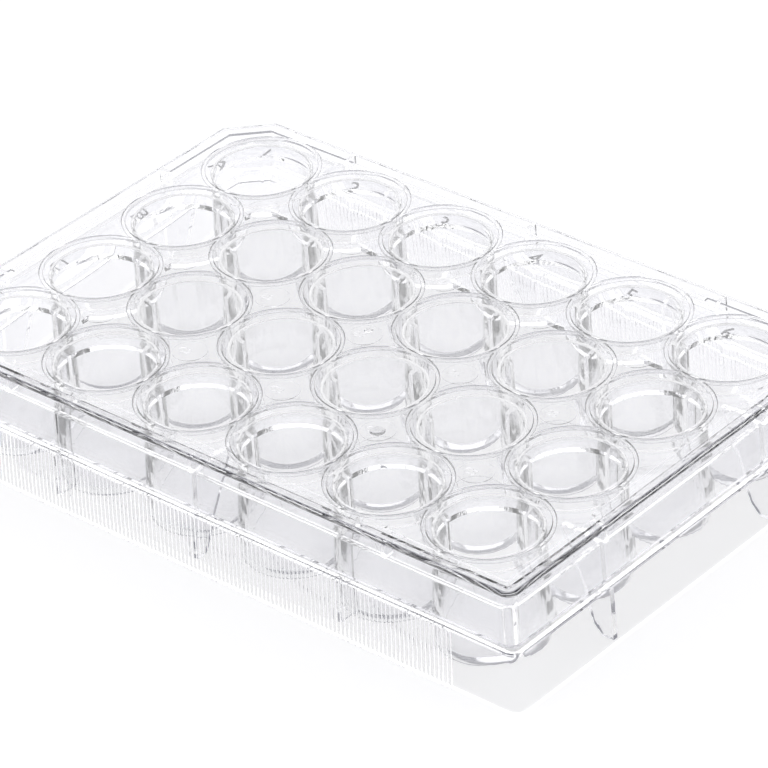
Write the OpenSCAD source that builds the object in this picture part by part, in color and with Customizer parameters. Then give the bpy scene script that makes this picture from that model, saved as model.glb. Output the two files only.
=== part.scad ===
/* [Plate foot] */
// Length of the foot, along the six columns
foot_l = 127.76; // [127:0.01:128.5]
// Width of the foot, along the four rows
foot_w = 85.47; // [85:0.01:86]
// Height of the foot flange, where its ledge is
ledge_z = 10.65; // [8:0.05:11]
// Leg of the cut corners on the A1 and D1 side
foot_cut = 4.6; // [3:0.1:6]

/* [Plate body] */
// Height of the deck that the wells open through
deck_z = 17.55; // [17:0.05:18.5]
// Thickness of the deck
deck_t = 1.1; // [0.9:0.05:1.4]
// Wall of the foot flange and of the body above it
skirt_t = 1.2; // [1:0.05:1.4]
// Draft that each outer wall gains from its foot to its top, on one side
draft_in = 0.4; // [0.2:0.05:0.6]

/* [Wells] */
// Distance from well to well
pitch = 19.3; // [18.9:0.05:19.5]
// Inner radius of a well at its mouth
well_r = 7.95; // [7.6:0.05:8.1]
// Inner radius of a well at its floor
well_floor_r = 7.7; // [7.4:0.05:7.9]
// Wall of a well
well_t = 0.8; // [0.7:0.05:0.9]
// Height of the well floor's underside over the table
floor_z = 1.0; // [0.8:0.1:2]
// Thickness of the well floor
floor_t = 1.3; // [1:0.1:1.6]

/* [Grip] */
// Distance from grip rib to grip rib
grip_pitch = 0.83; // [0.75:0.01:1]
// Grip ribs on one long side
grip_count = 124; // [60:2:124]
// How far a grip rib stands out
grip_h = 0.28; // [0.15:0.01:0.4]

/* [Lid] */
// Height of the lid's top over the table
lid_top = 21.15; // [20.9:0.05:22]
// Thickness of the lid's panel
panel_t = 1.05; // [0.9:0.05:1.2]
// Half length of the lid at its top edge
lid_x = 62.8; // [62.6:0.05:62.9]
// Half width of the lid at its top edge
lid_y = 41.8; // [41.6:0.05:41.9]
// Depth of the stacking step around the panel
step_h = 0.45; // [0.3:0.05:0.6]
// Width of the stacking step
step_w = 1.45; // [1.2:0.05:1.7]
// Height of the lid skirt's lower edge over the table
lid_skirt_z = 11.65; // [11.3:0.05:13]
// Wall of the lid's skirt
lid_skirt_t = 0.9; // [0.8:0.05:0.95]
// Middle radius of a condensation ring
ring_r = 9.66; // [9:0.02:9.9]
// Width of a condensation ring
ring_w = 0.5; // [0.4:0.05:0.8]
// How far a condensation ring stands down from the panel
ring_h = 0.3; // [0.2:0.05:0.8]

/* [Hidden] */
$fn = 96;
eps = 0.01;
cols = 6;
rows = 4;
round_r = 2;
arc_steps = 6;

// the foot, from the table up to the ledge
foot_x = foot_l / 2;
foot_y = foot_w / 2 - grip_h;
foot_bevel = 0.3;

// the body, from the ledge up to the deck
body_x = 61.4;
body_y = 40.7;
body_cut = 5.4;
body_draft = 0.3;
deck_bevel = 0.45;

// the wells
floor_top = floor_z + floor_t;
mouth_bevel = 0.15;
heel_bevel = 0.35;

// the gussets between the skirt and the wells
fin_t = 0.9;
post_t = 0.8;
post_x = 1.5 * pitch;
fin_y = pitch;

// the lid
lid_cut = 6.6;
lid_draft = 0.35;
lid_edge = 0.25;
shelf_z = lid_top - step_h;
panel_z = lid_top - panel_t;
rest_inset = 3.05;
rest_t = 1.0;
rim_t = 0.4;
rim_h = 0.6;
rest_x = 36.6;
rest_y = 18.4;
stay_t = 0.7;
stay_x = 38.4;

// Points of a plan outline: square corners cut on the -X side, rounded on the +X side.
function arc_points(cx, cy, r, from) =
    [for (i = [0:arc_steps]) [cx + r * cos(from + 90 * i / arc_steps), cy + r * sin(from + 90 * i / arc_steps)]];
function outline_points(x, y, cut, r) = concat(
    [[-x, -y + cut], [-x + cut, -y]],
    arc_points(x - r, -y + r, r, -90),
    arc_points(x - r, y - r, r, 0),
    [[-x + cut, y], [-x, y - cut]]);

// How much a 45 degree cut shortens when its outline moves in by 1.
function cut_in(cut, inset) = cut - inset * (2 - sqrt(2));

module slab(x, y, cut, r, z) {
    translate([0, 0, z])
        linear_extrude(eps)
            polygon(outline_points(x, y, cut, r));
}

// A straight plan shape from z0 to z1, moved in by `inset` from the outline x, y, cut.
module plan_block(x, y, cut, inset, z0, z1) {
    translate([0, 0, z0])
        linear_extrude(z1 - z0)
            polygon(outline_points(x - inset, y - inset, cut_in(cut, inset), max(round_r - inset, 0.5)));
}

// A drafted block: `grow` is how far it spreads on each side from its top to its foot.
module drafted(x, y, cut, r, z0, z1, grow, bevel = 0) {
    hull() {
        slab(x + grow, y + grow, cut + grow * 0.586, r, z0);
        slab(x, y, cut, r, z1 - bevel - eps);
        if (bevel > 0)
            slab(x - bevel, y - bevel, cut - bevel * 0.586, max(r - bevel, 0.3), z1 - eps);
    }
}

module at_wells() {
    for (i = [0:cols - 1], j = [0:rows - 1])
        translate([(i - (cols - 1) / 2) * pitch, (j - (rows - 1) / 2) * pitch, 0])
            children();
}

// The outside of one well, from its heel to the deck.
module well_outside() {
    rotate_extrude()
        polygon([[0, floor_z], [well_floor_r + well_t - heel_bevel, floor_z],
            [well_floor_r + well_t, floor_z + heel_bevel], [well_r + well_t, deck_z - deck_t / 2], [0, deck_z - deck_t / 2]]);
}

// The hollow of one well, open through the deck.
module well_hollow() {
    rotate_extrude()
        polygon([[0, floor_top], [well_floor_r, floor_top], [well_r, deck_z - mouth_bevel],
            [well_r + 2 * mouth_bevel, deck_z + mouth_bevel], [0, deck_z + mouth_bevel]]);
}

// Gusset on a short side, between two rows: full height at the wells, tapering to the foot.
module short_fin() {
    wall_x = foot_x - skirt_t / 2;
    for (sx = [-1, 1], sy = [-1, 1])
        scale_mirror(sx, 1)
            translate([0, sy * fin_y + fin_t / 2, 0])
                rotate([90, 0, 0])
                    linear_extrude(fin_t)
                        polygon([[wall_x, 0.5], [60.6, 0.5], [59.1, 2.2], [58.1, 5], [54.2, deck_z - deck_t / 2],
                            [body_x - skirt_t / 2, deck_z - deck_t / 2], [body_x - skirt_t / 2, ledge_z - 1.4],
                            [wall_x, ledge_z - 1.4]]);
}

// Gusset in the middle of a long side, between the third and the fourth column.
module long_fin() {
    wall_y = foot_y - skirt_t / 2;
    for (sy = [-1, 1])
        scale_mirror(1, sy)
            translate([-fin_t / 2, 0, 0])
                rotate([90, 0, 90])
                    linear_extrude(fin_t)
                        polygon([[wall_y, 2], [39.4, 2], [38.6, 3.2], [36.7, 7.2], [32.4, deck_z - deck_t / 2],
                            [body_y - skirt_t / 2, deck_z - deck_t / 2], [body_y - skirt_t / 2, ledge_z - 1.4],
                            [wall_y, ledge_z - 1.4]]);
}

// Narrow web where a well comes closest to the long side.
module long_post() {
    wall_y = foot_y - skirt_t / 2;
    for (sx = [-1, 1], sy = [-1, 1])
        scale_mirror(sx, sy)
            translate([post_x - post_t / 2, 0, 0])
                rotate([90, 0, 90])
                    linear_extrude(post_t)
                        polygon([[wall_y, 2.3], [37, 2.3], [37, deck_z - deck_t / 2],
                            [body_y - skirt_t / 2, deck_z - deck_t / 2], [body_y - skirt_t / 2, ledge_z - 1.4],
                            [wall_y, ledge_z - 1.4]]);
}

module scale_mirror(sx, sy) {
    mirror([sx < 0 ? 1 : 0, 0, 0])
        mirror([0, sy < 0 ? 1 : 0, 0])
            children();
}

// One row of grip ribs, lying along the drafted face of a long side.
module grip() {
    tilt = atan(draft_in / ledge_z);
    half = grip_count * grip_pitch / 2;
    tooth = [for (i = [0:grip_count - 1], k = [[0.18, 0], [0.3, 1], [0.58, 1], [0.7, 0]])
        [-half + (i + k[0]) * grip_pitch, -k[1] * grip_h]];
    translate([0, -foot_y, 0])
        rotate([-tilt, 0, 0])
            translate([0, 0, -1])
                linear_extrude(ledge_z + 1 - foot_bevel)
                    polygon(concat(tooth, [[half, 0.4], [-half, 0.4]]));
}

module plate_outside() {
    drafted(foot_x - draft_in, foot_y - draft_in, foot_cut, round_r, 0, ledge_z, draft_in, foot_bevel);
    drafted(body_x, body_y, body_cut, round_r, ledge_z - 1, deck_z, body_draft, deck_bevel);
    grip();
    mirror([0, 1, 0])
        grip();
}

module plate_cavity() {
    drafted(foot_x - draft_in - skirt_t, foot_y - draft_in - skirt_t, cut_in(foot_cut, skirt_t), round_r - 1,
        -eps, ledge_z - skirt_t, draft_in);
    drafted(body_x - skirt_t, body_y - skirt_t, cut_in(body_cut, skirt_t), round_r - 1,
        ledge_z - skirt_t - 1, deck_z - deck_t, body_draft);
}

module plate() {
    color("lavender")
        difference() {
            union() {
                difference() {
                    plate_outside();
                    plate_cavity();
                }
                at_wells() well_outside();
                short_fin();
                long_fin();
                long_post();
            }
            at_wells() well_hollow();
            translate([-foot_l, -foot_w, -4])
                cube([2 * foot_l, 2 * foot_w, 4]);
        }
}

module lid_outside() {
    drafted(lid_x, lid_y, lid_cut, round_r, lid_skirt_z, shelf_z, lid_draft, lid_edge);
    plan_block(lid_x, lid_y, lid_cut, step_w, shelf_z - 0.5, lid_top);
}

module lid_inside() {
    drafted(lid_x - lid_skirt_t, lid_y - lid_skirt_t, cut_in(lid_cut, lid_skirt_t), round_r - 0.9,
        lid_skirt_z - eps, shelf_z - panel_t, lid_draft);
    plan_block(lid_x, lid_y, lid_cut, step_w + panel_t * 0.6, shelf_z - panel_t - 0.5, panel_z);
}

// The border rib under the panel: a thin line at the corners, wide along the middle of each side,
// where it stands on the plate's deck.
module rest_rib() {
    difference() {
        plan_block(lid_x, lid_y, lid_cut, rest_inset - rim_t / 2, panel_z - rim_h, panel_z + 0.2);
        plan_block(lid_x, lid_y, lid_cut, rest_inset + rim_t / 2, panel_z - rim_h - 1, panel_z + 1);
    }
    for (s = [-1, 1]) {
        translate([-rest_x, s * (lid_y - rest_inset) - rest_t / 2, deck_z])
            cube([2 * rest_x, rest_t, panel_z - deck_z + 0.2]);
        translate([s * (lid_x - rest_inset) - rest_t / 2, -rest_y, deck_z])
            cube([rest_t, 2 * rest_y, panel_z - deck_z + 0.2]);
    }
}

// Short stays between the border rib and the skirt.
module stays() {
    stay_z = deck_z + 0.1;
    run = rest_inset - lid_skirt_t / 2;
    for (x = [-stay_x, 0, stay_x], s = [-1, 1])
        translate([x - stay_t / 2, s > 0 ? lid_y - rest_inset : -lid_y + lid_skirt_t / 2, stay_z])
            cube([stay_t, run, shelf_z - stay_z - panel_t / 2]);
    for (y = [-fin_y, fin_y], s = [-1, 1])
        translate([s > 0 ? lid_x - rest_inset : -lid_x + lid_skirt_t / 2, y - stay_t / 2, stay_z])
            cube([run, stay_t, shelf_z - stay_z - panel_t / 2]);
}

module ring() {
    translate([0, 0, panel_z - ring_h])
        difference() {
            cylinder(h = ring_h + 0.2, r = ring_r + ring_w / 2);
            translate([0, 0, -1])
                cylinder(h = ring_h + 2, r = ring_r - ring_w / 2);
        }
}

module lid() {
    color("whitesmoke") {
        difference() {
            lid_outside();
            lid_inside();
        }
        at_wells() ring();
        rest_rib();
        stays();
    }
}

plate();
lid();
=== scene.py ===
import math

import bmesh
import bpy
from mathutils import Matrix, Vector


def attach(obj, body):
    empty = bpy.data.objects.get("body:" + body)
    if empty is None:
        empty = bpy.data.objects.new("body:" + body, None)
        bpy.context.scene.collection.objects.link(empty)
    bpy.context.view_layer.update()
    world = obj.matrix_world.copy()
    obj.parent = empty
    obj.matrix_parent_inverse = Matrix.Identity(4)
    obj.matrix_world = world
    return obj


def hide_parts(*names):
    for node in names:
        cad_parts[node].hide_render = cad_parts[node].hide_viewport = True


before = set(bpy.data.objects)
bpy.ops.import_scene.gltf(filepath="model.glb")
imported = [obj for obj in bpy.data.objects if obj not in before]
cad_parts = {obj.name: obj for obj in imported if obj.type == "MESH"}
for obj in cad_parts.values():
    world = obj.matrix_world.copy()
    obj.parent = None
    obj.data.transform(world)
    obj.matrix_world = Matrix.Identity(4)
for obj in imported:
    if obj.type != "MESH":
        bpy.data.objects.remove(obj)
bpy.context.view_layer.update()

scene = bpy.context.scene
mm = 0.001

# The grid that the wells of the plate and the rings of the lid share.
grid = {
    "pitch": 19.3,  # millimetres
    "columns": 6,
    "rows": 4,
    "turnSteps": 96,  # faces round each well and ring
}
cutIn = 2 - math.sqrt(2)  # what a corner cut loses for each millimetre that its sides move in
leastRadius = 0.3  # millimetres that a rounded corner keeps when its sides move in
overlap = 1  # millimetres that a tool reaches into or past the solid it works on
hair = 0.01  # millimetres that a cut starts outside the face that it opens
weld = 1e-6  # metres; points of one shape that are closer than this become one
letterWeld = 1e-7  # the same for letters
levelEnough = 0.9999  # a face whose normal has this much Z is level


def hexColor(text):  # sRGB hex to the linear values that shaders take
    channels = [int(text[i:i + 2], 16) / 255 for i in (1, 3, 5)]
    linear = [c / 12.92 if c <= 0.04045 else ((c + 0.055) / 1.055) ** 2.4 for c in channels]
    return (*linear, 1.0)


def addNode(tree, kind, inputs=None, **settings):
    # A value goes into its input, a socket is linked to it, and a list holds several sockets.
    node = tree.nodes.new(kind)
    for name, value in settings.items():
        setattr(node, name, value)
    for name, value in (inputs or {}).items():
        for one in value if isinstance(value, list) else [value]:
            if isinstance(one, bpy.types.NodeSocket):
                tree.links.new(one, node.inputs[name])
            else:
                node.inputs[name].default_value = one
    return node


# Solids are drawn in millimetres, from rings of points that lie one above another.

def arcPoints(cx, cy, radius, start, steps=10):  # a quarter of a circle
    angles = [math.radians(start + 90 * i / steps) for i in range(steps + 1)]
    return [(cx + radius * math.cos(a), cy + radius * math.sin(a)) for a in angles]


def circlePoints(cx, cy, radius, steps=10):
    return [point for start in (0, 90, 180, 270)
            for point in arcPoints(cx, cy, radius, start, steps)[:-1]]


def outline(x, y, left, radius, soft):
    # The +X corners are rounded by radius; the -X corners are cut by left, or rounded if soft.
    if soft:
        lower = arcPoints(-x + left, -y + left, left, 180)
        upper = arcPoints(-x + left, y - left, left, 90)
    else:
        lower = [(-x, -y + left), (-x + left, -y)]
        upper = [(-x + left, y), (-x, y - left)]
    right = arcPoints(x - radius, -y + radius, radius, -90)
    right += arcPoints(x - radius, y - radius, radius, 0)
    return lower + right + upper


def addSolid(mesh, rings):  # rings of equal length, from the bottom up, as one closed solid
    count = len(rings[0])
    points = [mesh.verts.new(Vector(p) * mm) for ring in rings for p in ring]
    mesh.faces.new(points[count - 1::-1])
    for low in range(0, len(points) - count, count):
        high = low + count
        for i in range(count):
            j = (i + 1) % count
            mesh.faces.new([points[low + i], points[low + j], points[high + j], points[high + i]])
    mesh.faces.new(points[-count:])


def addPrism(mesh, rim, low, high):
    addSolid(mesh, [[(x, y, z) for x, y in rim] for z in (low, high)])


def drafted(mesh, x, y, left, radius, soft, low, high, grow, bevel=0):
    # A block that spreads by grow from its top to its foot; bevel rounds its top edge.
    steps = [(-grow, radius, low)]
    for turn in range(0, 91, 15) if bevel else (0,):
        inward = bevel * (1 - math.cos(math.radians(turn)))
        height = high - bevel * (1 - math.sin(math.radians(turn)))
        steps.append((inward, max(radius - inward, leastRadius), height))
    rings = []
    for inward, corner, height in steps:
        side = left - inward * (1 if soft else cutIn)
        rim = outline(x - inward, y - inward, side, corner, soft)
        rings.append([(px, py, height) for px, py in rim])
    addSolid(mesh, rings)


def block(mesh, low, high):
    rim = [(low[0], low[1]), (high[0], low[1]), (high[0], high[1]), (low[0], high[1])]
    addPrism(mesh, rim, low[2], high[2])


def wedge(mesh, profile, wall, middle, thick):
    # A flat rib: its profile is drawn outwards and up, and it stands across the X or the Y wall.
    sides = (middle - thick / 2, middle + thick / 2)
    if wall == "x":
        rings = [[(out, side, up) for out, up in profile] for side in sides]
    else:
        rings = [[(side, out, up) for out, up in profile] for side in sides]
    addSolid(mesh, rings)


def sideSpan(side, inner, outer):  # from inner to outer on one side of the middle, rising
    return sorted((side * inner, side * outer))


def cellMiddle(i, j):  # columns count from -X and rows from -Y; a half lies between two cells
    return ((i - (grid["columns"] - 1) / 2) * grid["pitch"],
            (j - (grid["rows"] - 1) / 2) * grid["pitch"])


def finishSolids(mesh, name):
    bmesh.ops.recalc_face_normals(mesh, faces=mesh.faces)
    data = bpy.data.meshes.new(name)
    mesh.to_mesh(data)
    mesh.free()
    piece = bpy.data.objects.new(name, data)
    scene.collection.objects.link(piece)
    return piece


def newTool(build, name="tool"):
    mesh = bmesh.new()
    build(mesh)
    return finishSolids(mesh, name)


def takeEvaluated(piece):  # the modified shape becomes the piece's own plain mesh
    bpy.context.view_layer.update()
    evaluated = piece.evaluated_get(bpy.context.evaluated_depsgraph_get())
    data = bpy.data.meshes.new_from_object(evaluated)
    piece.modifiers.clear()
    old = piece.data
    piece.data = data
    bpy.data.meshes.remove(old)
    data.name = piece.name


def combine(piece, tool, operation):
    change = piece.modifiers.new(operation, "BOOLEAN")
    change.operation = operation
    change.solver = "MANIFOLD"
    change.object = tool
    takeEvaluated(piece)
    bpy.data.objects.remove(tool)


def cutInCells(piece):  # faces part at the borders of the grid's cells, so none gets many holes
    cell = grid["pitch"] * mm
    mesh = bmesh.new()
    mesh.from_mesh(piece.data)
    for axis, count in ((0, grid["columns"]), (1, grid["rows"])):
        for k in range(count + 1):
            place, normal = Vector(), Vector()
            place[axis] = (k - count / 2) * cell
            normal[axis] = 1
            everything = mesh.verts[:] + mesh.edges[:] + mesh.faces[:]
            bmesh.ops.bisect_plane(mesh, geom=everything, plane_co=place, plane_no=normal)
    mesh.to_mesh(piece.data)
    mesh.free()


def smoothEdges(piece, angle=25):
    piece.data.shade_smooth()
    for face in piece.data.polygons:  # level faces are flat, so slivers don't bend their shading
        if abs(face.normal.z) > levelEnough:
            face.use_smooth = False
    piece.data.set_sharp_from_angle(angle=math.radians(angle))


def mouldedWords(words, size, high, cells, shift, height):
    # Raised letters: the middle of each word is set off by shift from the middle of its cell.
    mesh = bmesh.new()
    for word, (i, j) in zip(words, cells):
        x, y = cellMiddle(i, j)
        curve = bpy.data.curves.new("word", "FONT")
        curve.body = word
        curve.size = size * mm
        curve.extrude = high * mm  # to both sides, so half of it is in the solid
        curve.align_x = "CENTER"
        curve.align_y = "CENTER"
        curve.resolution_u = 5
        text = bpy.data.objects.new("word", curve)
        scene.collection.objects.link(text)
        bpy.context.view_layer.update()
        evaluated = text.evaluated_get(bpy.context.evaluated_depsgraph_get())
        data = bpy.data.meshes.new_from_object(evaluated)
        place = Vector((x + shift[0], y + shift[1], height))
        data.transform(Matrix.Translation(place * mm))
        mesh.from_mesh(data)
        bpy.data.objects.remove(text)
        bpy.data.meshes.remove(data)
    bmesh.ops.remove_doubles(mesh, verts=mesh.verts, dist=letterWeld)
    return finishSolids(mesh, "words")


# Geometry trees make what is turned or repeated; their sizes are inputs, in metres.

def startTree(name, sizes):
    tree = bpy.data.node_groups.new(name, "GeometryNodeTree")
    sockets = tree.interface
    sockets.new_socket(name="Geometry", in_out="INPUT", socket_type="NodeSocketGeometry")
    for label, value in sizes.items():
        kind = "NodeSocketInt" if isinstance(value, int) else "NodeSocketFloat"
        sockets.new_socket(name=label, in_out="INPUT", socket_type=kind)
    sockets.new_socket(name="Finish", in_out="INPUT", socket_type="NodeSocketMaterial")
    sockets.new_socket(name="Geometry", in_out="OUTPUT", socket_type="NodeSocketGeometry")
    return tree, addNode(tree, "NodeGroupInput").outputs


def endTree(tree, shape, entry):
    realized = addNode(tree, "GeometryNodeRealizeInstances", {"Geometry": shape}).outputs[0]
    finished = addNode(tree, "GeometryNodeSetMaterial", {
        "Geometry": realized, "Material": entry["Finish"]}).outputs[0]
    addNode(tree, "NodeGroupOutput", {"Geometry": finished})


def applyTree(piece, tree, sizes, finish):
    change = piece.modifiers.new(tree.name, "NODES")
    change.node_group = tree
    values = dict(sizes, Finish=finish)
    for item in tree.interface.items_tree:
        if item.in_out == "INPUT" and item.name in values:
            change[item.identifier] = values[item.name]
    takeEvaluated(piece)
    bpy.data.node_groups.remove(tree)


def calc(tree, operation, first, second=0.0):
    return addNode(tree, "ShaderNodeMath", {0: first, 1: second}, operation=operation).outputs[0]


def along(tree, axis, value):  # a vector that lies on one axis
    return addNode(tree, "ShaderNodeCombineXYZ", {axis: value}).outputs[0]


def moved(tree, shape, **change):
    return addNode(tree, "GeometryNodeTransform", {"Geometry": shape, **change}).outputs[0]


def copiedTo(tree, points, shape):
    placed = addNode(tree, "GeometryNodeInstanceOnPoints", {"Points": points, "Instance": shape})
    return addNode(tree, "GeometryNodeRealizeInstances", {"Geometry": placed.outputs[0]}).outputs[0]


def welded(tree, shape):
    return addNode(tree, "GeometryNodeMergeByDistance", {
        "Geometry": shape, "Distance": weld}).outputs[0]


def profileCurve(tree, corners, closed=False, roundSteps=4):
    # Each corner is its radius, its height and its rounding, as numbers or sockets.
    index = addNode(tree, "GeometryNodeInputIndex").outputs[0]
    places = addNode(tree, "GeometryNodeIndexSwitch", {"Index": index}, data_type="VECTOR")
    rounding = addNode(tree, "GeometryNodeIndexSwitch", {"Index": index}, data_type="FLOAT")
    for switch in (places, rounding):
        while len(switch.index_switch_items) < len(corners):
            switch.index_switch_items.new()
    for k, (radius, height, bend) in enumerate(corners):
        point = addNode(tree, "ShaderNodeCombineXYZ", {"X": radius, "Y": height})
        tree.links.new(point.outputs[0], places.inputs[k + 1])
        if isinstance(bend, bpy.types.NodeSocket):
            tree.links.new(bend, rounding.inputs[k + 1])
        else:
            rounding.inputs[k + 1].default_value = bend
    line = addNode(tree, "GeometryNodeMeshLine", {"Count": len(corners)})
    bent = addNode(tree, "GeometryNodeSetPosition", {
        "Geometry": line.outputs[0], "Position": places.outputs[0]})
    curve = addNode(tree, "GeometryNodeMeshToCurve", {"Mesh": bent.outputs[0]})
    cyclic = addNode(tree, "GeometryNodeSetSplineCyclic", {
        "Geometry": curve.outputs[0], "Cyclic": closed})
    return addNode(tree, "GeometryNodeFilletCurve", {
        "Curve": cyclic.outputs[0], "Radius": rounding.outputs[0], "Count": roundSteps},
        mode="POLY").outputs[0]


def turned(tree, profile, steps):  # the profile spun round the Z axis, closed at its poles
    hub = 1 * mm  # the profile runs round a small circle and is moved in by as much
    circle = addNode(tree, "GeometryNodeCurvePrimitiveCircle", {"Resolution": steps, "Radius": hub})
    upright = addNode(tree, "GeometryNodeSetCurveNormal", {
        "Curve": circle.outputs[0]}, mode="Z_UP").outputs[0]
    spun = addNode(tree, "GeometryNodeCurveToMesh", {
        "Curve": upright, "Profile Curve": moved(tree, profile, Translation=(-hub, 0, 0))})
    return moved(tree, welded(tree, spun.outputs[0]), Rotation=(math.pi, 0, 0))


def onGrid(tree, shape, columns, rows, pitch, shift=(0.0, 0.0, 0.0)):
    spread = addNode(tree, "GeometryNodeMeshGrid", {
        "Size X": calc(tree, "MULTIPLY", pitch, calc(tree, "SUBTRACT", columns, 1.0)),
        "Size Y": calc(tree, "MULTIPLY", pitch, calc(tree, "SUBTRACT", rows, 1.0)),
        "Vertices X": columns, "Vertices Y": rows})
    return copiedTo(tree, moved(tree, spread.outputs[0], Translation=shift), shape)


def joinSolids(tree, solids, solver):
    return addNode(tree, "GeometryNodeMeshBoolean", {"Mesh 2": solids},
                   operation="UNION", solver=solver).outputs[0]


def cutSolids(tree, solid, tools):
    return addNode(tree, "GeometryNodeMeshBoolean", {"Mesh 1": solid, "Mesh 2": tools},
                   operation="DIFFERENCE", solver="MANIFOLD").outputs[0]


plateLook = {
    "tint": "#FAFAFB",
    "ior": 1.59,
    "flowSize": 9 * mm,  # slow waves where the plastic flowed in
    "flowDetail": 2.0,
    "flowDepth": 0.02 * mm,
    "flowStrength": 0.3,
    "drawSize": 1.1 * mm,  # coarser than real draw lines, which would be too fine to show
    "drawDetail": 1.0,
    "drawStretch": 0.03,
    "drawShare": 2.0,
    "drawReach": 40 * mm,  # how far from the middle they run; the long outer faces have none
    "roughLow": 0.0,
    "roughHigh": 0.03,
    "hazeFrom": 0.35,  # between these two values of the flow, roughness goes from low to high
    "hazeTo": 0.7,
}
lidLook = dict(plateLook, flowSize=14 * mm)


def clearPolystyrene(name, look):
    # Colourless polystyrene from a polished mould: glass-clear, strong edges from its high IOR,
    # and a faint cool cast where light goes through much of it.
    material = bpy.data.materials.new(name)
    material.use_nodes = True
    tree = material.node_tree
    shader = tree.nodes["Principled BSDF"]
    shader.inputs["Base Color"].default_value = hexColor(look["tint"])
    shader.inputs["IOR"].default_value = look["ior"]
    shader.inputs["Transmission Weight"].default_value = 1.0
    places = addNode(tree, "ShaderNodeTexCoord").outputs["Object"]
    flow = addNode(tree, "ShaderNodeTexNoise", {
        "Vector": places, "Scale": 1 / look["flowSize"], "Detail": look["flowDetail"]})
    haze = addNode(tree, "ShaderNodeMapRange", {
        "Value": flow.outputs[0], "From Min": look["hazeFrom"], "From Max": look["hazeTo"],
        "To Min": look["roughLow"], "To Max": look["roughHigh"]})
    tree.links.new(haze.outputs[0], shader.inputs["Roughness"])
    # Draw lines: upright streaks that the mould leaves on steep walls, none on level faces.
    upright = addNode(tree, "ShaderNodeVectorMath", {
        0: places, 1: (1.0, 1.0, look["drawStretch"])}, operation="MULTIPLY")
    draw = addNode(tree, "ShaderNodeTexNoise", {
        "Vector": upright.outputs[0], "Scale": 1 / look["drawSize"], "Detail": look["drawDetail"]})
    facing = addNode(tree, "ShaderNodeNewGeometry").outputs["True Normal"]
    slope = calc(tree, "ABSOLUTE", addNode(tree, "ShaderNodeSeparateXYZ", {0: facing}).outputs[2])
    depth = calc(tree, "ABSOLUTE", addNode(tree, "ShaderNodeSeparateXYZ", {0: places}).outputs[1])
    near = calc(tree, "LESS_THAN", depth, look["drawReach"])
    within = calc(tree, "MULTIPLY", near, look["drawShare"])
    steep = calc(tree, "MULTIPLY", calc(tree, "SUBTRACT", 1.0, slope), within)
    streaks = calc(tree, "MULTIPLY", draw.outputs[0], steep)
    bump = addNode(tree, "ShaderNodeBump", {
        "Height": calc(tree, "ADD", flow.outputs[0], streaks),
        "Strength": look["flowStrength"], "Distance": look["flowDepth"]})
    tree.links.new(bump.outputs[0], shader.inputs["Normal"])
    return material


plate = {  # millimetres; names that end in X or Y are measured from the middle
    "footX": 63.88, "footY": 42.455, "ledge": 10.65, "ledgeRound": 0.3,
    "footCut": 4.6, "footWall": 1.2, "footDraft": 0.4, "hollowCut": 5, "hollowCorner": 1,
    "bodyX": 61.4, "bodyY": 40.7, "bodyCorner": 8.5, "bodyWall": 1.0, "bodyDraft": 0.3,
    "deck": 17.45, "deckThick": 0.85, "deckRound": 0.45, "corner": 2.0,
    "bayX": 42.9, "bayY": 22.3, "bayCorner": 1, "collar": 10.3,
    "webThick": 0.9, "webFoot": 2.3,
    "ribThick": 0.9, "ribSink": 0.55,  # how deep ribs and posts stand in the skirt
    "shortRib": [(60.6, 0.5), (59.1, 2.2), (58.1, 5)], "shortRibTop": 54.2,  # free edge: out, up
    "longRib": [(39.4, 2), (38.6, 3.2), (36.7, 7.2)], "longRibTop": 32.4,
    "postThick": 0.8, "postX": 28.95, "postY": 37,
    "letterSize": 4.0, "letterHigh": 0.05,
    "letterShift": (-9.35, -0.7), "numberShift": (-5.6, 6.8),  # from the middle of the cell
}
wells = {  # metres, as a geometry tree takes them
    "Pitch": grid["pitch"] * mm, "Columns": grid["columns"], "Rows": grid["rows"],
    "Turn steps": grid["turnSteps"],
    "Mouth radius": 7.95 * mm, "Floor radius": 7.7 * mm, "Outer radius": 8.5 * mm,
    "Rim height": 19.5 * mm, "Foot height": 1.0 * mm, "Floor height": 2.3 * mm,
    "Heel round": 0.35 * mm, "Rim round": 0.15 * mm,
}
grip = {  # metres
    "Rib pitch": 0.83 * mm, "Rib count": 124, "Rib height": 0.28 * mm, "Rib sink": 0.4 * mm,
    "Rib foot": 0.5 * mm, "Rib tip": 0.42 * mm,
    "Face y": plate["footY"] * mm, "Face height": (plate["ledge"] - plate["ledgeRound"]) * mm,
    "Lean": math.atan(plate["footDraft"] / plate["ledge"]),
}


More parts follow.
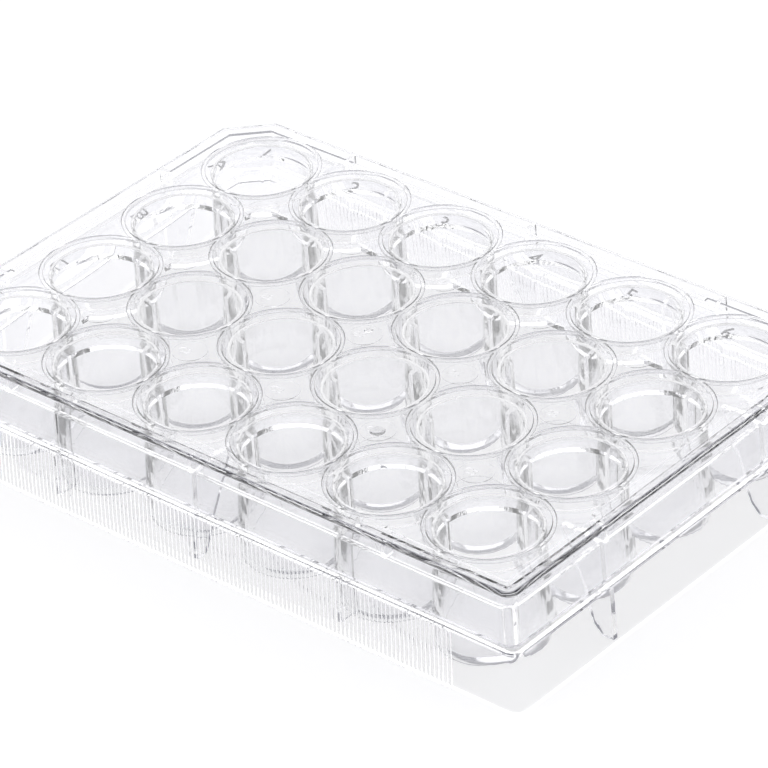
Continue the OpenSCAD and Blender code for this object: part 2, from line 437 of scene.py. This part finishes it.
def plateShell():
    p = plate
    foot = newTool(lambda m: drafted(
        m, p["footX"] - p["footDraft"], p["footY"] - p["footDraft"], p["footCut"], p["corner"],
        False, 0, p["ledge"], p["footDraft"], p["ledgeRound"]), "plateClear")
    body = newTool(lambda m: drafted(
        m, p["bodyX"], p["bodyY"], p["bodyCorner"], p["corner"],
        True, p["ledge"] - overlap, p["deck"], p["bodyDraft"], p["deckRound"]))
    combine(foot, body, "UNION")
    inside = p["footDraft"] + p["footWall"]
    roof = p["ledge"] - p["footWall"]
    combine(foot, newTool(lambda m: drafted(
        m, p["footX"] - inside, p["footY"] - inside, p["hollowCut"], p["hollowCorner"],
        True, -hair, roof, p["footDraft"])), "DIFFERENCE")
    wall = p["bodyWall"]
    combine(foot, newTool(lambda m: drafted(
        m, p["bodyX"] - wall, p["bodyY"] - wall, p["bodyCorner"] - wall, p["hollowCorner"],
        True, roof - overlap, p["deck"] - p["deckThick"], p["bodyDraft"])), "DIFFERENCE")
    combine(foot, newTool(lambda m: drafted(
        m, p["bayX"], p["bayY"], p["bayCorner"], p["bayCorner"],
        True, p["deck"] - 2 * overlap, p["deck"] + overlap, 0)), "DIFFERENCE")
    for parity in (0, 1):
        combine(foot, newTool(lambda m: collars(m, parity)), "UNION")
    combine(foot, newTool(webs), "UNION")
    combine(foot, newTool(ribs), "UNION")
    return foot


def collars(mesh, parity):
    # The deck goes all round the outer wells; neighbours come by turns, as they overlap.
    columns, rows = grid["columns"], grid["rows"]
    for i in range(columns):
        for j in range(rows):
            outer = i in (0, columns - 1) or j in (0, rows - 1)
            if outer and (i + j) % 2 == parity:
                rim = circlePoints(*cellMiddle(i, j), plate["collar"], 16)
                addPrism(mesh, rim, plate["deck"] - plate["deckThick"], plate["deck"])


def webs(mesh):  # upright webs that join neighbouring wells
    step = grid["pitch"] / 2
    half = step - wells["Floor radius"] / mm
    thick = plate["webThick"] / 2
    low, high = plate["webFoot"], plate["deck"] - plate["deckRound"]
    for i in range(grid["columns"]):
        for j in range(grid["rows"]):
            x, y = cellMiddle(i, j)
            if i < grid["columns"] - 1:
                block(mesh, (x + step - half, y - thick, low), (x + step + half, y + thick, high))
            if j < grid["rows"] - 1:
                block(mesh, (x - thick, y + step - half, low), (x + thick, y + step + half, high))


def ribs(mesh):  # gussets and posts between the skirt and the wells
    p = plate
    top = p["deck"] - p["deckThick"] / 2
    ledge = p["ledge"] - p["footWall"] - p["ribSink"] / 2

    def profile(free, foot, body):
        foot, body = foot - p["ribSink"], body - p["ribSink"]
        return [(foot, free[0][1])] + free + [(body, top), (body, ledge), (foot, ledge)]

    short = profile(p["shortRib"] + [(p["shortRibTop"], top)], p["footX"], p["bodyX"])
    long = profile(p["longRib"] + [(p["longRibTop"], top)], p["footY"], p["bodyY"])
    post = profile([(p["postY"], p["webFoot"]), (p["postY"], top)], p["footY"], p["bodyY"])
    for side in (-1, 1):
        for y in (-grid["pitch"], grid["pitch"]):
            wedge(mesh, [(side * a, b) for a, b in short], "x", y, p["ribThick"])
        wedge(mesh, [(side * a, b) for a, b in long], "y", 0, p["ribThick"])
        for x in (-p["postX"], p["postX"]):
            wedge(mesh, [(side * a, b) for a, b in post], "y", x, p["postThick"])


def wellTree():
    tree, entry = startTree("moulded wells", {**wells, **grip})
    rim, bend = entry["Rim height"], entry["Rim round"]
    outer = profileCurve(tree, [
        (0.0, entry["Foot height"], 0.0),
        (entry["Outer radius"], entry["Foot height"], entry["Heel round"]),
        (entry["Outer radius"], rim, bend),
        (0.0, rim, 0.0)])
    above = calc(tree, "ADD", rim, bend)
    flared = calc(tree, "ADD", entry["Mouth radius"], calc(tree, "MULTIPLY", bend, 2.0))
    hollow = profileCurve(tree, [
        (0.0, entry["Floor height"], 0.0),
        (entry["Floor radius"], entry["Floor height"], bend),
        (entry["Mouth radius"], calc(tree, "SUBTRACT", rim, bend), bend),
        (flared, above, 0.0),
        (0.0, above, 0.0)])
    cells = (entry["Columns"], entry["Rows"], entry["Pitch"])
    tubes = onGrid(tree, turned(tree, outer, entry["Turn steps"]), *cells)
    hollows = onGrid(tree, turned(tree, hollow, entry["Turn steps"]), *cells)
    solid = joinSolids(tree, [entry["Geometry"], tubes, gripRibs(tree, entry)], "MANIFOLD")
    endTree(tree, cutSolids(tree, solid, [hollows]), entry)
    return tree


def gripRibs(tree, entry):  # fine upright ribs along both long sides of the foot
    profile = addNode(tree, "GeometryNodeCurvePrimitiveQuadrilateral", {
        "Bottom Width": entry["Rib tip"], "Top Width": entry["Rib foot"], "Offset": 0.0,
        "Height": calc(tree, "ADD", entry["Rib height"], entry["Rib sink"])},
        mode="TRAPEZOID").outputs[0]
    flat = addNode(tree, "GeometryNodeFillCurve", {"Curve": profile}, mode="NGONS").outputs[0]
    prism = addNode(tree, "GeometryNodeExtrudeMesh", {
        "Mesh": flat, "Offset": along(tree, "Z", entry["Face height"]), "Offset Scale": 1.0,
        "Individual": False}).outputs[0]
    base = addNode(tree, "GeometryNodeFlipFaces", {"Mesh": flat}).outputs[0]
    closed = addNode(tree, "GeometryNodeJoinGeometry", {"Geometry": [prism, base]}).outputs[0]
    proud = calc(tree, "SUBTRACT", entry["Rib height"], entry["Rib sink"])
    middle = along(tree, "Y", calc(tree, "MULTIPLY", proud, -0.5))
    rib = moved(tree, welded(tree, closed), Translation=middle)
    gaps = calc(tree, "SUBTRACT", entry["Rib count"], 1.0)
    start = calc(tree, "MULTIPLY", gaps, calc(tree, "MULTIPLY", entry["Rib pitch"], -0.5))
    line = addNode(tree, "GeometryNodeMeshLine", {
        "Count": entry["Rib count"], "Start Location": along(tree, "X", start),
        "Offset": along(tree, "X", entry["Rib pitch"])}).outputs[0]
    lean = along(tree, "X", calc(tree, "MULTIPLY", entry["Lean"], -1.0))
    face = along(tree, "Y", calc(tree, "MULTIPLY", entry["Face y"], -1.0))
    front = moved(tree, copiedTo(tree, line, rib), Rotation=lean, Translation=face)
    # what leans below the floor is lifted level with it; X and Y never come near -1 metre
    place = addNode(tree, "GeometryNodeInputPosition").outputs[0]
    level = addNode(tree, "ShaderNodeVectorMath", {0: place, 1: (-1.0, -1.0, 0.0)},
                    operation="MAXIMUM").outputs[0]
    flush = addNode(tree, "GeometryNodeSetPosition", {
        "Geometry": front, "Position": level}).outputs[0]
    back = moved(tree, flush, Rotation=(0, 0, math.pi))
    return addNode(tree, "GeometryNodeJoinGeometry", {"Geometry": [flush, back]}).outputs[0]


def addLetters(words, cells, shift):
    letters = mouldedWords(words, plate["letterSize"], plate["letterHigh"],
                           cells, shift, plate["deck"])
    combine(plateClear, letters, "UNION")


print("plate: shell")
plateFinish = clearPolystyrene("clearPolystyrenePlate", plateLook)
plateClear = plateShell()
cutInCells(plateClear)
print("plate: wells and grip")
applyTree(plateClear, wellTree(), {**wells, **grip}, plateFinish)
print("plate: letters and numbers")
lastRow = grid["rows"] - 1
rowCells = [(0, lastRow - k) for k in range(grid["rows"])]
columnCells = [(k, lastRow) for k in range(grid["columns"])]
addLetters("ABCD", rowCells, plate["letterShift"])
addLetters("123456", columnCells, plate["numberShift"])
smoothEdges(plateClear)


lid = {  # millimetres; x, y and names that end in X or Y are measured from the middle
    "x": 62.8, "y": 41.8, "cut": 6.6, "corner": 2.0, "draft": 0.35, "edgeRound": 0.8,
    "top": 21.15, "panelThick": 1.05, "stepHigh": 0.45, "stepWide": 1.45, "stepCorner": 0.5,
    "skirtFoot": 11.65, "skirtThick": 0.9, "restInset": 2.9,
    "lipHigh": 0.3, "lipWide": 0.85, "lipX": 36.6, "lipY": 18.4,
    "stayThick": 0.7, "stayX": 38.4, "stayY": 19.3, "stayGap": 0.02,
    "gates": ((-0.7, 0.9, 0.75), (19.0, -19.9, 1.25)),  # x, y and radius of each
    "gateHigh": 0.4, "gateSink": 0.2,
    "gateTip": 0.5, "gateShoulder": 1 / 3,  # shares of the radius and of the height
    "labelSize": 2.0, "labelHigh": 0.09, "labelShift": (-1.3, -0.7),
}
rings = {  # metres
    "Pitch": grid["pitch"] * mm, "Columns": grid["columns"], "Rows": grid["rows"],
    "Turn steps": grid["turnSteps"],
    "Ring radius": 9.66 * mm, "Ring width": 0.75 * mm, "Ring tip": 0.55 * mm,
    "Ring height": 0.5 * mm, "Ring round": 0.06 * mm,
    "Panel height": (lid["top"] - lid["panelThick"]) * mm,
    "Sink": 0.2 * mm,  # how far rings and discs reach up into the panel
    "Disc radius": 2.8 * mm, "Disc height": 0.1 * mm, "Disc steps": 64,
    "Disc x": -0.3 * mm, "Disc y": -0.5 * mm,
}


def lidBlock(mesh, inset, low, high):
    rim = outline(lid["x"] - inset, lid["y"] - inset, lid["cut"] - inset * cutIn,
                  max(lid["corner"] - inset, lid["stepCorner"]), False)
    addPrism(mesh, rim, low, high)


def lidShell():
    p = lid
    shelf = p["top"] - p["stepHigh"]
    under = p["top"] - p["panelThick"]
    shell = newTool(lambda m: drafted(
        m, p["x"], p["y"], p["cut"], p["corner"],
        False, p["skirtFoot"], shelf, p["draft"], p["edgeRound"]), "lidClear")
    combine(shell, newTool(lambda m: lidBlock(
        m, p["stepWide"], shelf - p["stepHigh"], p["top"])), "UNION")
    wall = p["skirtThick"]
    combine(shell, newTool(lambda m: drafted(
        m, p["x"] - wall, p["y"] - wall, p["cut"] - wall * cutIn, p["corner"] - wall,
        False, p["skirtFoot"] - hair, shelf - p["panelThick"], p["draft"])), "DIFFERENCE")
    combine(shell, newTool(lambda m: lidBlock(
        m, p["restInset"], shelf - p["panelThick"] - p["stepHigh"], under)), "DIFFERENCE")
    for build in (lips, stays, gates):
        combine(shell, newTool(build), "UNION")
    return shell


def lips(mesh):  # a shallow lip under the panel along the middle of each side
    p = lid
    under = p["top"] - p["panelThick"]
    low, high = under - p["lipHigh"], under + p["lipHigh"]
    for side in (-1, 1):
        outer = p["y"] - p["restInset"]
        near, far = sideSpan(side, outer - p["lipWide"], outer)
        block(mesh, (-p["lipX"], near, low), (p["lipX"], far, high))
        outer = p["x"] - p["restInset"]
        near, far = sideSpan(side, outer - p["lipWide"], outer)
        block(mesh, (near, -p["lipY"], low), (far, p["lipY"], high))


def stays(mesh):  # they stand on the deck; a hair of air keeps the two surfaces apart
    p = lid
    low = plate["deck"] + p["stayGap"]
    high = p["top"] - p["stepHigh"] - p["panelThick"] / 2
    half = p["stayThick"] / 2
    inner, outer = p["restInset"], p["skirtThick"] / 2
    for side in (-1, 1):
        near, far = sideSpan(side, p["y"] - inner, p["y"] - outer)
        for x in (-p["stayX"], 0, p["stayX"]):
            block(mesh, (x - half, near, low), (x + half, far, high))
        near, far = sideSpan(side, p["x"] - inner, p["x"] - outer)
        for y in (-p["stayY"], p["stayY"]):
            block(mesh, (near, y - half, low), (far, y + half, high))


def gates(mesh):  # blunt cones under the panel where the plastic came in
    p = lid
    under = p["top"] - p["panelThick"]
    for x, y, radius in p["gates"]:
        steps = ((p["gateTip"] * radius, under - p["gateHigh"]),
                 (radius, under - p["gateHigh"] * p["gateShoulder"]),
                 (radius, under + p["gateSink"]))
        addSolid(mesh, [[(px, py, z) for px, py in circlePoints(x, y, r)] for r, z in steps])


def ringTree():
    tree, entry = startTree("condensation rings", rings)
    panel, middle, bend = entry["Panel height"], entry["Ring radius"], entry["Ring round"]
    half = calc(tree, "MULTIPLY", entry["Ring width"], 0.5)
    tip = calc(tree, "MULTIPLY", entry["Ring tip"], 0.5)
    buried = calc(tree, "ADD", panel, entry["Sink"])
    low = calc(tree, "SUBTRACT", panel, entry["Ring height"])
    inner, outer = (calc(tree, turn, middle, half) for turn in ("SUBTRACT", "ADD"))
    section = profileCurve(tree, [
        (inner, panel, 0.0),
        (calc(tree, "SUBTRACT", middle, tip), low, bend),
        (calc(tree, "ADD", middle, tip), low, bend),
        (outer, panel, 0.0),
        (outer, buried, 0.0),
        (inner, buried, 0.0)], closed=True)
    ringsOver = onGrid(tree, turned(tree, section, entry["Turn steps"]),
                       entry["Columns"], entry["Rows"], entry["Pitch"])
    disc = addNode(tree, "GeometryNodeMeshCylinder", {
        "Vertices": entry["Disc steps"], "Radius": entry["Disc radius"],
        "Depth": calc(tree, "MULTIPLY", entry["Sink"], 2.0)}).outputs[0]
    sunk = calc(tree, "ADD", calc(tree, "SUBTRACT", panel, entry["Disc height"]), entry["Sink"])
    shift = addNode(tree, "ShaderNodeCombineXYZ", {
        "X": entry["Disc x"], "Y": entry["Disc y"], "Z": sunk}).outputs[0]
    discs = onGrid(tree, disc, calc(tree, "SUBTRACT", entry["Columns"], 1.0),
                   calc(tree, "SUBTRACT", entry["Rows"], 1.0), entry["Pitch"], shift)
    # the exact solver is slower, but the quick one leaves bad faces where a ring meets the panel
    endTree(tree, joinSolids(tree, [entry["Geometry"], ringsOver, discs], "EXACT"), entry)
    return tree


print("lid: shell")
lidFinish = clearPolystyrene("clearPolystyreneLid", lidLook)
lidClear = lidShell()
cutInCells(lidClear)
print("lid: rings and discs")
applyTree(lidClear, ringTree(), rings, lidFinish)
print("lid: labels")
labels, labelCells = [], []
for rowsDown, row in enumerate("ABC"):
    for column in range(1, grid["columns"]):
        labels.append(f"{row}{column}")
        labelCells.append((column - 0.5, lastRow - 0.5 - rowsDown))
discFace = (rings["Panel height"] - rings["Disc height"]) / mm
combine(lidClear, mouldedWords(labels, lid["labelSize"], lid["labelHigh"],
                               labelCells, lid["labelShift"], discFace), "UNION")
smoothEdges(lidClear)

for piece, node, slot in ((plateClear, "plate", "plate_clear"), (lidClear, "lid", "lid_clear")):
    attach(piece, "root")
    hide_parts(node)
    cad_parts[node].data.materials.clear()
    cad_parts[node].data.materials.append(piece.data.materials[0])


stage = {
    "floorSize": 6.0,
    "floorColor": "#C4C4C4",
    "floorRoughness": 0.9,
    "floorGlow": 0.79,  # what is seen of the floor before the light that falls on it
    "farGlow": 0.1,  # the same far off, where only mirrors and glass look
    "glowNear": 0.1,  # metres from the middle where the glow begins to fade, and where it ends
    "glowFar": 0.22,
    "skyColor": "#DCDCF4",
    "skyStrength": 0.24,
    "bandHeight": 0.54,  # soft light all round; heights are the sine of the angle above the floor
    "bandHalf": 0.08,
    "bandFade": 0.16,
    "bandStrength": 1.55,
    "bounces": 28,  # light goes far inside the clear sheet; with fewer its edges turn black
}
cameraPlace = {
    "azimuth": 42.8079, "height": 32.7059, "roll": -4.0572,  # degrees
    "target": (0.0112342, -0.0093585, 0.02065), "away": 0.746629,  # metres
    "lens": 228.713, "sensor": 36, "nearest": 0.01,
}


def makeFloor():
    # Matt white paper: it takes the shadow, and a plain glow makes it pale to the eye.
    bpy.ops.mesh.primitive_plane_add(size=stage["floorSize"])
    floor = bpy.context.object
    floor.name = "floor"
    material = bpy.data.materials.new("palePaper")
    material.use_nodes = True
    tree = material.node_tree
    paper = tree.nodes["Principled BSDF"]
    paper.inputs["Base Color"].default_value = hexColor(stage["floorColor"])
    paper.inputs["Roughness"].default_value = stage["floorRoughness"]
    paper.inputs["Specular IOR Level"].default_value = 0.0
    path = addNode(tree, "ShaderNodeLightPath").outputs
    place = addNode(tree, "ShaderNodeTexCoord").outputs["Object"]
    away = addNode(tree, "ShaderNodeVectorMath", {0: place}, operation="LENGTH").outputs["Value"]
    around = addNode(tree, "ShaderNodeMapRange", {
        "Value": away, "From Min": stage["glowNear"], "From Max": stage["glowFar"],
        "To Min": stage["floorGlow"], "To Max": stage["farGlow"]}).outputs[0]
    throughGlass = calc(tree, "MAXIMUM", path["Is Glossy Ray"], path["Is Transmission Ray"])
    inGlass = calc(tree, "MULTIPLY", throughGlass, around)
    direct = calc(tree, "MULTIPLY", path["Is Camera Ray"], stage["floorGlow"])
    glow = addNode(tree, "ShaderNodeEmission", {"Strength": calc(tree, "MAXIMUM", direct, inGlass)})
    both = addNode(tree, "ShaderNodeAddShader", {0: paper.outputs[0], 1: glow.outputs[0]})
    tree.links.new(both.outputs[0], tree.nodes["Material Output"].inputs["Surface"])
    floor.data.materials.append(material)


def makeWorld():
    # A dim sky with a soft band of light all round; seen straight on it is plain white.
    world = bpy.data.worlds.new("softSky")
    scene.world = world
    world.use_nodes = True
    tree = world.node_tree
    direction = addNode(tree, "ShaderNodeTexCoord").outputs["Generated"]
    height = addNode(tree, "ShaderNodeSeparateXYZ", {0: direction}).outputs[2]
    fromBand = calc(tree, "ABSOLUTE", calc(tree, "SUBTRACT", height, stage["bandHeight"]))
    fade = addNode(tree, "ShaderNodeMapRange", {
        "Value": fromBand, "From Min": stage["bandHalf"], "From Max": stage["bandFade"]})
    band = (stage["bandStrength"],) * 3 + (1,)
    sky = (*(channel * stage["skyStrength"] for channel in hexColor(stage["skyColor"])[:3]), 1)
    # inputs 6 and 7 and output 2 of a Mix node are its colours
    mix = addNode(tree, "ShaderNodeMix", {
        "Factor": fade.outputs[0], 6: band, 7: sky}, data_type="RGBA")
    straight = addNode(tree, "ShaderNodeLightPath").outputs["Is Camera Ray"]
    shown = addNode(tree, "ShaderNodeMix", {
        "Factor": straight, 6: mix.outputs[2], 7: (1, 1, 1, 1)}, data_type="RGBA")
    tree.links.new(shown.outputs[2], tree.nodes["Background"].inputs["Color"])


def makeCamera():
    view = cameraPlace
    turn, rise, roll = (math.radians(view[k]) for k in ("azimuth", "height", "roll"))
    level = math.cos(rise)
    back = Vector((math.sin(turn) * level, -math.cos(turn) * level, math.sin(rise)))
    right = (-back).cross(Vector((0, 0, 1))).normalized()
    up = right.cross(-back)
    across = right * math.cos(roll) + up * math.sin(roll)
    upward = up * math.cos(roll) - right * math.sin(roll)
    data = bpy.data.cameras.new("camera")
    data.sensor_width = view["sensor"]
    data.lens = view["lens"]
    data.clip_start = view["nearest"]
    camera = bpy.data.objects.new("camera", data)
    scene.collection.objects.link(camera)
    camera.matrix_world = Matrix((across, upward, back)).transposed().to_4x4()
    camera.location = Vector(view["target"]) + back * view["away"]
    scene.camera = camera


print("floor, light and camera")
makeFloor()
makeWorld()
makeCamera()
scene.view_settings.view_transform = "Standard"
scene.cycles.max_bounces = stage["bounces"]
scene.cycles.transmission_bounces = stage["bounces"]
scene.cycles.glossy_bounces = stage["bounces"]
